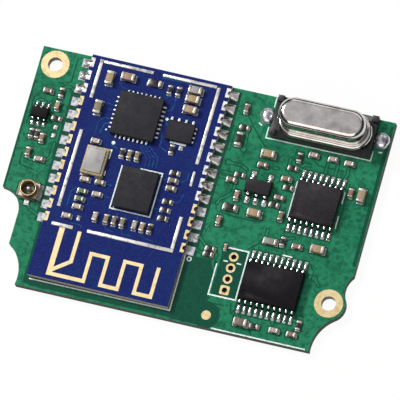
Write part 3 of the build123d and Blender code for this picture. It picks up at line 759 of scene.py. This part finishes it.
def boardFilms():
    carrierPads = [item for node in ("board_passive_pads", "chip_lead_pads") for item in islands(node)]
    maskFilm("carrierMask", "main_board", carrierTop, 0.0, (0, 0), carrierPads, carrierPlan, "greenMask",
             "green_board")
    modulePads = islands("module_passive_pads", moduleTurn)
    maskFilm("moduleMask", "module_board", moduleTop, moduleTurn, moduleCentre, modulePads, modulePlan,
             "blueMask", "blue_board")
    plain("carrierCore", "main_board")
    plain("moduleCore", "module_board")


boardFilms()
print("boards lacquered")


# solder, lands and printed metal

rampShape = {
    "fall": 1.9,  # powers: how steeply it sinks outwards, and how square it is across
    "square": 3.0,
    "edge": 0.2,  # share of the height that is left at its sides
    "noiseScale": 900.0,
    "unevenness": 1.6,
    "neck": (0.35, 0.55),  # up to this share of the length it widens, from this share of the width
}


def rampTree():
    # a hollow solder ramp: full height at the inner end, sinking to its foot at the outer end
    given = startTree("solderRamps", {"Height": 0.62, "Foot": 0.05, "Swell": 0.05})
    copies = copiesOf(cube(9, 7, 2), given["Geometry"])
    own = axesOf(named("own"))
    size = axesOf(named("size"))
    along = plus(own[0], 0.5)
    fall = calc("POWER", minus(1.0, along), rampShape["fall"])
    across = minus(1.0, calc("POWER", calc("ABSOLUTE", times(own[1], 2.0)), rampShape["square"]))
    tall = plus(times(fall, given["Height"]), given["Foot"])
    tall = times(tall, plus(times(across, 1.0 - rampShape["edge"]), rampShape["edge"]))
    seed = put("TexNoise", {"Vector": named("seedPlace"), "Scale": rampShape["noiseScale"]})["Fac"]
    hump = times(calc("SINE", times(along, 3.14)), given["Swell"])
    tall = plus(tall, times(times(hump, across), times(seed, rampShape["unevenness"])))
    wide = times(size[1], span(along, 0.0, *rampShape["neck"], 1.0))
    level = times(plus(own[2], 0.5), tall)
    level = minus(level, times(size[2], 0.5))
    spot = joined(times(own[0], size[0]), times(own[1], wide), level)
    return endTree(copies, spot, given["Finish"])


def joints():
    ramps = islands("module_solder_fillets", moduleTurn)
    for item in ramps:
        if item["centre"].x < moduleCentre[0]:
            item["turn"] = moduleTurn + pi
    piece = grow("solderJoints", rampTree(), seedPoints(ramps), "brightSolder", 60, Height=0.38, Foot=0.07,
                 Swell=0.12)
    settle(piece, "tinned", "module_solder_fillets")
    blocks("solderedLands", "module_lands", "landTin", "tinned", Rounding=0.06, Crown=0.02)
    blocks("shieldFence", "shield_fence", "fenceTin", "tinned", moduleTurn, sharp=60, Rounding=0.09,
           Crown=0.01)
    blocks("smallPads", "board_passive_pads", "padTin", "tinned", Rounding=0.03)
    blocks("modulePads", "module_passive_pads", "padTin", "tinned", moduleTurn, Rounding=0.03)
    blocks("chipPads", "chip_lead_pads", "padTin", "tinned", Rounding=0.035, Crown=0.012)
    plain("goldPlate", "corner_hole_plating", "header_hole_plating", "fiducial_pad", "castellations_bare")
    plain("antennaGold", "antenna_trace")
    plain("toeTin", "castellations_soldered")
    plain("printInk", "board_legend", "module_legend")
    plain("padTin", "processor_thermal_pad", "oscillator_pads", "radio_chip_joints")


joints()
print("solder and plating done")


# crystal

crystal = {
    "centre": (12.76, 11.14),
    "flange": (10.6, 4.28),
    "cap": (9.75, 3.45),
    "seat": 0.8,
    "flangeTop": 1.52,
    "top": 4.2,
    "crown": 0.75,
    "roll": ((0.0, -0.4), (0.02, -0.28), (0.07, -0.18), (0.14, -0.1), (0.23, -0.04), (0.34, -0.01),
             (0.45, 0.0)),
    "steps": 18,
    "straightSteps": 16,
    "moundSpread": (1.22, 1.18),
    "moundPower": 0.85,  # 1 is an oval, less is squarer
    "moundRise": ((1.0, 0.0), (0.99, 0.06), (0.95, 0.18), (0.87, 0.32), (0.74, 0.45), (0.56, 0.55),
                  (0.34, 0.61), (0.14, 0.625)),
    "moundSteps": 28,
}


def stadium(size, level):
    # a ring of two half circles and two straight sides round the crystal's middle
    centre, steps, straightSteps = (crystal[key] for key in ("centre", "steps", "straightSteps"))
    radius = size[1] / 2
    straight = size[0] / 2 - radius
    points = []
    for side, start in ((1, -90), (-1, 90)):
        for step in range(steps + 1):
            angle = radians(start + 180 * step / steps)
            points.append(Vector((centre[0] + side * straight + radius * cos(angle),
                                  centre[1] + radius * sin(angle), level)))
        for step in range(1, straightSteps):
            along = straight * (1 - 2 * step / straightSteps)
            points.append(Vector((centre[0] + side * along, centre[1] + side * radius, level)))
    return points


def skinRings(mesh, rings):
    # joins rings of equal length and closes both ends
    rows = [[mesh.verts.new(point) for point in ring] for ring in rings]
    for low, high in zip(rows, rows[1:]):
        for i in range(len(low)):
            j = (i + 1) % len(low)
            mesh.faces.new((low[i], low[j], high[j], high[i]))
    mesh.faces.new(reversed(rows[0]))
    mesh.faces.new(rows[-1])


def crystalCan():
    mesh = bmesh.new()
    seat = carrierTop + crystal["seat"]
    rim = carrierTop + crystal["flangeTop"]
    top = carrierTop + crystal["top"]
    crown = crystal["crown"]
    lengthwise, crosswise = crystal["flange"]
    profile = [(0.14, seat), (0.0, seat + 0.16)] + [(inset, rim + rise) for inset, rise in crystal["roll"]]
    wall = (lengthwise - crystal["cap"][0]) / 2
    profile += [(wall + 0.06, rim + 0.08), (wall, rim + 0.25), (wall, top - crown)]
    profile += [(wall + crown * (1 - cos(angle)), top - crown * (1 - sin(angle)))
                for angle in map(radians, range(10, 90, 10))]
    profile += [(wall + crown, top), (wall + crown + 0.12, top), (wall + crown + 0.22, top - 0.012)]
    rings = [stadium((lengthwise - 2 * inset, crosswise - 2 * inset), level) for inset, level in profile]
    skinRings(mesh, rings)
    settle(fromBmesh("crystalShell", mesh, "canSteel", smooth=65), "can_steel", "crystal_can")
    softened("crystalPlate", "crystal_insulator", "insulatorBlack", "black_plastic", 0.08)
    softened("crystalLeads", "crystal_leads", "leadTin", "chip_terminals", 0.03)


def crystalJoints():
    # each mound wraps over the flat lead and sinks to its edges
    mesh = bmesh.new()
    for item in islands("crystal_solder"):
        middle = item["centre"]
        length, width = (item["size"][k] * crystal["moundSpread"][k] for k in (0, 1))
        power = crystal["moundPower"]
        rings = []
        for share, rise in crystal["moundRise"]:
            ring = []
            for i in range(crystal["moundSteps"]):
                angle = 2 * pi * i / crystal["moundSteps"]
                bulge = min(1.0, 1 + 0.05 * sin(3 * angle + middle.x) + 0.03 * sin(5 * angle))
                x, y = (copysign(abs(side) ** power, side) for side in (cos(angle), sin(angle)))
                ring.append(Vector((middle.x + x * length / 2 * share * bulge,
                                    middle.y + y * width / 2 * share * bulge, carrierTop + rise)))
            rings.append(ring)
        skinRings(mesh, rings)
    settle(fromBmesh("crystalJoints", mesh, "domeSolder", smooth=80), "tinned", "crystal_solder")


crystalCan()
crystalJoints()
print("crystal done")


# chips with bent leads

def leadTree():
    # one lead swept along its bends, copied to every seed
    given = startTree("bentLeads", {"Reach": 1.0, "Split": 0.57, "Wide": 0.24, "Thick": 0.15, "Foot": 0.04,
                                    "Bend": 0.12})
    heel = plus(given["Foot"], times(given["Thick"], 0.5))
    index = form("InputIndex")[0]
    share = plus(span(index, 0, 1, 0.0, 0.31), span(index, 1, 2, 0.0, 0.17))
    share = plus(share, span(index, 2, 3, 0.0, 0.52))
    low = calc("GREATER_THAN", index, 1.5)
    level = plus(times(low, heel), times(minus(1.0, low), given["Split"]))
    spot = joined(0.0, times(given["Reach"], share), level)
    line = form("MeshLine", {"Count": 4})[0]
    line = form("SetPosition", {"Geometry": line, "Position": spot})[0]
    line = form("MeshToCurve", {"Mesh": line})[0]
    line = form("FilletCurve", {"Curve": line, "Radius": given["Bend"], "Count": 3}, mode="POLY")[0]
    values = {"Width": given["Wide"], "Height": given["Thick"]}
    outline = form("CurvePrimitiveQuadrilateral", values)[0]
    corner = times(given["Thick"], 0.25)
    outline = form("FilletCurve", {"Curve": outline, "Radius": corner, "Count": 1}, mode="POLY")[0]
    values = {"Curve": line, "Profile Curve": outline, "Fill Caps": True}
    lead = form("CurveToMesh", values)[0]
    copies = copiesOf(lead, given["Geometry"])
    return endTree(copies, named("own"), given["Finish"])


chips = {
    "sixteenLeadChip": {"nodes": "sixteen_lead_chip", "turn": upperChipTurn, "finish": "chipBlack",
                        "width": 4.4, "reach": 1.0, "split": 0.572, "wide": 0.24},
    "twentyLeadChip": {"nodes": "twenty_lead_chip", "turn": 0.0, "finish": "darkChip",
                       "width": 4.4, "reach": 1.0, "split": 0.572, "wide": 0.24},
    "regulator": {"nodes": "regulator", "turn": 0.0, "finish": "chipBlack",
                  "width": 1.6, "reach": 0.62, "split": 0.52, "wide": 0.36},
    "smallChip": {"nodes": "small_chip", "turn": 0.0, "finish": "darkChip",
                  "width": 1.25, "reach": 0.5, "split": 0.468, "wide": 0.24},
}
leadJoint = {"ahead": 0.06, "level": 0.1, "length": 0.34, "margin": 0.1, "height": 0.12}


def leadedChips():
    tree = leadTree()
    solder = []
    for name, chip in chips.items():
        body = islands(chip["nodes"] + "_body")[0]["centre"]
        turn = Matrix.Rotation(chip["turn"], 3, "Z")
        seeds = []
        for item in islands(chip["nodes"] + "_leads", chip["turn"]):
            own = turn.transposed() @ (item["centre"] - body)
            side = 1 if own.y > 0 else -1
            start = Vector((own.x, chip["width"] / 2 * side, 0))
            centre = body + turn @ start
            centre.z = carrierTop
            facing = chip["turn"] + (pi if side < 0 else 0)
            seeds.append({"centre": centre, "size": item["size"], "turn": facing})
            foot = body + turn @ (start + Vector((0, (chip["reach"] + leadJoint["ahead"]) * side, 0)))
            foot.z = carrierTop + leadJoint["level"]
            size = Vector((leadJoint["length"], chip["wide"] + leadJoint["margin"], leadJoint["height"]))
            solder.append({"centre": foot, "size": size, "turn": chip["turn"] + side * pi / 2})
        piece = grow(name + "Leads", tree, seedPoints(seeds), "leadTin", 50, Reach=chip["reach"],
                     Split=chip["split"], Wide=chip["wide"])
        settle(piece, "chip_terminals", chip["nodes"] + "_leads")
        softened(name + "Body", chip["nodes"] + "_body", chip["finish"], "chip_plastic", 0.05)
    piece = grow("leadSolder", rampTree(), seedPoints(solder), "brightSolder", 60, Height=0.1, Foot=0.03,
                 Swell=0.02)
    settle(piece, "tinned")


leadedChips()
print("leaded chips done")


# small two-ended parts, with the usual tint of each group and the places of those with another one

tan = (0.6, 0.51, 0.4)
brown = (0.5, 0.39, 0.32)
mauve = (0.64, 0.57, 0.57)
olive = (0.46, 0.43, 0.32)
greyBrown = (0.42, 0.37, 0.34)
pink = (0.58, 0.47, 0.4)
beige = (0.66, 0.62, 0.58)
darkGrey = (0.34, 0.33, 0.32)
greenish = (0.3, 0.4, 0.29)
glaze = (0.11, 0.1, 0.12)
silver = (0.55, 0.55, 0.54)

tints = {
    "carrier": (greyBrown, {
        tan: [(-16.58, 7.08), (7.45, 6.85), (7.72, 0.05), (18.55, 4.55), (15.5, -2.35)],
        brown: [(-17.25, 3.15), (7.13, 5.58), (10.08, 4.6), (17.33, 4.62), (13.2, -2.5), (15.2, -12.12)],
        mauve: [(-16.9, 0.75), (12.3, 7.87), (14.48, 7.87), (16.35, 7.8), (13.25, -12.12)],
        pink: [(5.3, 1.65), (4.13, -1.55), (5.65, -4.25)],
    }),
    "module": (tan, {
        olive: [(-11.92, 7.6), (-7.1, 3.2), (-6.25, 3.2), (-1.7, 0.55), (-9.42, -0.58), (-7.6, -4.4),
                (-5.77, -4.4)],
        pink: [(-9.6, 11.65)],
        tan: [(-2.03, 10.75), (-3.54, -4.35)],
        silver: [(-2.0, 11.8)],
        beige: [(-11.15, 3.87), (-11.1, -0.58), (-9.37, -1.95), (-11.1, -3.75), (-11.95, -5.0),
                (-8.85, -4.4), (-4.4, -4.35)],
        darkGrey: [(-1.7, 2.35)],
        greyBrown: [(-1.7, 1.45), (-6.7, -4.4)],
        greenish: [(-11.05, -1.95), (-11.1, -2.85)],
    }),
    "glazed": (glaze, {
        darkGrey: [(-8.0, 11.65), (2.9, -4.8)],
        silver: [(10.2, -2.6)],
    }),
}


def smallParts():
    for side, group, turn in (("board", "carrier", 0.0), ("module", "module", moduleTurn)):
        for kind, node, finish, slotName, tinted, rounding in (
                ("Capacitors", "_capacitor_bodies", "ceramic", "tan_ceramic", tints[group], 0.03),
                ("CapacitorEnds", "_capacitor_ends", "capTin", "tinned", None, 0.05),
                ("Resistors", "_resistor_bodies", "resistorGlaze", "black_glaze", tints["glazed"], 0.015),
                ("ResistorEnds", "_resistor_ends", "capTin", "tinned", None, 0.04)):
            blocks(side + kind, side + node, finish, slotName, turn, tinted, Rounding=rounding)


smallParts()
print("small parts done")


# chips without leads, oscillator and antenna socket

def moduleChips():
    for piece, node in (("radioChip", "radio_chip"), ("processor", "processor_body"),
                        ("memoryChip", "memory_chip_body")):
        softened(piece, node, "flatChip", "chip_plastic", 0.04)
    softened("oscillatorBase", "oscillator_base", "khaki", "khaki_ceramic", 0.1, 3)
    softened("oscillatorLid", "oscillator_lid", "lidSteel", "lid_steel", 0.08, 3)
    for node, piece in (("processor_terminals", "processorToes"), ("memory_chip_terminals", "memoryToes")):
        blocks(piece, node, "toeTin", "chip_terminals", moduleTurn, narrow=0.72, Rounding=0.03)


socket = {
    "centre": (-16.93, -2.9),
    "floor": 0.481,  # the shell's ring stands above this level, and is made anew
    "ring": [(0.62, 0.48), (0.95, 0.48), (0.95, 0.62), (0.885, 0.7), (0.88, 0.78), (0.89, 0.87),
             (0.945, 0.97), (0.945, 1.1), (0.925, 1.18), (0.88, 1.235), (0.83, 1.25), (0.79, 1.22),
             (0.765, 1.14), (0.62, 0.88)],
    "pin": [(0.0, 0.04), (0.19, 0.04), (0.19, 0.95), (0.17, 1.03), (0.12, 1.09), (0.05, 1.118), (0.0, 1.12)],
    "steps": 40,
    "leg": {"size": (0.5, 1.55, 0.12), "shift": (0.0, -0.7, 0.1)},
}


def spun(mesh, profile, closed):
    # turns a profile of radius and height about the socket's axis
    rows = []
    for radius, level in profile:
        ring = disc(*socket["centre"], radius, 1 if radius == 0 else socket["steps"])
        rows.append([mesh.verts.new((*point, carrierTop + level)) for point in ring])
    if closed:
        rows.append(rows[0])
    for low, high in zip(rows, rows[1:]):
        for i in range(socket["steps"]):
            j = (i + 1) % socket["steps"]
            corners = [low[i % len(low)], low[j % len(low)], high[j % len(high)], high[i % len(high)]]
            corners = [c for k, c in enumerate(corners) if c not in corners[:k]]
            mesh.faces.new(corners)


def antennaSocket():
    softened("socketBase", "antenna_socket_base", "socketBase", "cream_plastic", 0.06)
    mesh = mergedCopy("antenna_socket_shell")
    ring = [f for f in mesh.faces if f.calc_center_median().z > carrierTop + socket["floor"]]
    bmesh.ops.delete(mesh, geom=ring, context="FACES")
    bmesh.ops.dissolve_limit(mesh, angle_limit=radians(1), verts=mesh.verts, edges=mesh.edges)
    for face in mesh.faces:
        face.material_index = 1
    spun(mesh, socket["ring"], True)
    piece = fromBmesh("socketShell", mesh, "socketGold", "capTin", smooth=50)
    settle(piece, "gold_plating", "antenna_socket_shell")
    mesh = bmesh.new()
    spun(mesh, socket["pin"], False)
    strip = bmesh.ops.create_cube(mesh, size=1.0)["verts"]
    bmesh.ops.scale(mesh, vec=socket["leg"]["size"], verts=strip)
    middle = Vector((*socket["centre"], carrierTop)) + Vector(socket["leg"]["shift"])
    bmesh.ops.translate(mesh, vec=middle, verts=strip)
    settle(fromBmesh("socketPin", mesh, "toeTin", smooth=50), "gold_plating", "antenna_socket_pin")


moduleChips()
antennaSocket()
print("module chips and socket done")


# floor, light and camera

room = {
    "reach": 500,
    "paintedShadowSpot": (6.9, -7.3, 0.0),
    "paintedShadowRadius": (3.0, 5.0),
    "whiteShare": 0.94,
    "heights": (0.6, 0.93),  # sine of the elevation where the world is darkest and brightest
    "strengths": (0.04, 0.62),
}


def surroundings():
    floor = bmesh.new()
    bmesh.ops.create_grid(floor, x_segments=1, y_segments=1, size=room["reach"])
    bmesh.ops.translate(floor, vec=(0, 0, -0.01), verts=floor.verts)
    place = startMaterial("paleFloor", Roughness=0.9)
    dress(ramp(noise(place, 0.02), (0.3, (0.95, 0.95, 0.95)), (0.7, (0.97, 0.97, 0.97))))
    rays = put("LightPath")
    seen = calc("MAXIMUM", rays["Is Glossy Ray"], rays["Is Transmission Ray"])
    seen = calc("MAXIMUM", rays["Is Camera Ray"], seen)
    # close under the header holes the floor's glow fades to a painted shadow, so that the holes look dark
    near = vectorCalc("DISTANCE", place, room["paintedShadowSpot"], output="Value")
    shade = span(near, *room["paintedShadowRadius"], 0.02, 1.0)
    glow = put("Emission", {"Color": (1, 1, 1, 1), "Strength": shade})[0]
    nodes = draft["tree"].nodes
    lit = nodes["Principled BSDF"].outputs[0]
    mixed = put("MixShader", {0: times(seen, room["whiteShare"]), 1: lit, 2: glow})
    feed(nodes["Material Output"].inputs["Surface"], mixed[0])
    fromBmesh("floor", floor, "paleFloor")

    world = bpy.data.worlds.new("softRoom")
    bpy.context.scene.world = world
    world.use_nodes = True
    draft["tree"] = world.node_tree
    nodes = draft["tree"].nodes
    rays = put("LightPath")
    dim = nodes["Background"]
    # bright overhead and dark towards the horizon, so that bent metal shows both
    height = axesOf(put("TexCoord")["Generated"])["Z"]
    feed(dim.inputs["Strength"], span(height, *room["heights"], *room["strengths"]))
    feed(dim.inputs["Color"], (0.97, 0.98, 1.0, 1))
    white = put("Background", {"Color": (1, 1, 1, 1), "Strength": 1.0})
    mixed = put("MixShader", {0: rays["Is Camera Ray"], 1: dim.outputs[0], 2: white[0]})
    feed(nodes["World Output"].inputs["Surface"], mixed[0])


lamps = {
    "keyLamp": {"place": (-260, 110, 330), "size": (95, 95), "power": 1.5, "colour": (1.0, 0.98, 0.96)},
    "frontLamp": {"place": (30, -300, 300), "size": (420, 300), "power": 0.62, "colour": (1.0, 0.95, 0.87)},
    "backLamp": {"place": (40, 330, 250), "size": (420, 150), "power": 0.22, "colour": (1.0, 0.97, 0.93)},
}


def lights():
    for name, sizes in lamps.items():
        light = bpy.data.lights.new(name, "AREA")
        light.shape = "RECTANGLE"
        light.size, light.size_y = (side * mm for side in sizes["size"])
        light.energy = sizes["power"]
        light.color = sizes["colour"]
        lamp = linked(name, light)
        lamp.location = Vector(sizes["place"]) * mm
        lamp.rotation_euler = (-lamp.location).to_track_quat("-Z", "Y").to_euler()


view = {
    "tilt": (-0.3067055, -0.1460682, -0.2264902),  # the board's lean in the picture, about X, Y and Z
    "pivot": (0.0, 0.443, 1.0),
    "offset": (1.3916, -0.4759, 647.5),
    "lens": 540,
}


def camera():
    tiltX, tiltY, tiltZ = view["tilt"]
    lean = Matrix.Rotation(tiltY, 3, "Y") @ Matrix.Rotation(tiltX, 3, "X") @ Matrix.Rotation(tiltZ, 3, "Z")
    data = bpy.data.cameras.new("photoCamera")
    data.sensor_width = 36
    data.lens = view["lens"]
    data.clip_start = 0.05
    eye = linked("photoCamera", data)
    place = (Vector(view["pivot"]) + lean.transposed() @ Vector(view["offset"])) * mm
    eye.matrix_world = Matrix.Translation(place) @ lean.transposed().to_4x4()
    bpy.context.scene.camera = eye


surroundings()
lights()
camera()
bpy.context.scene.view_settings.view_transform = "Standard"
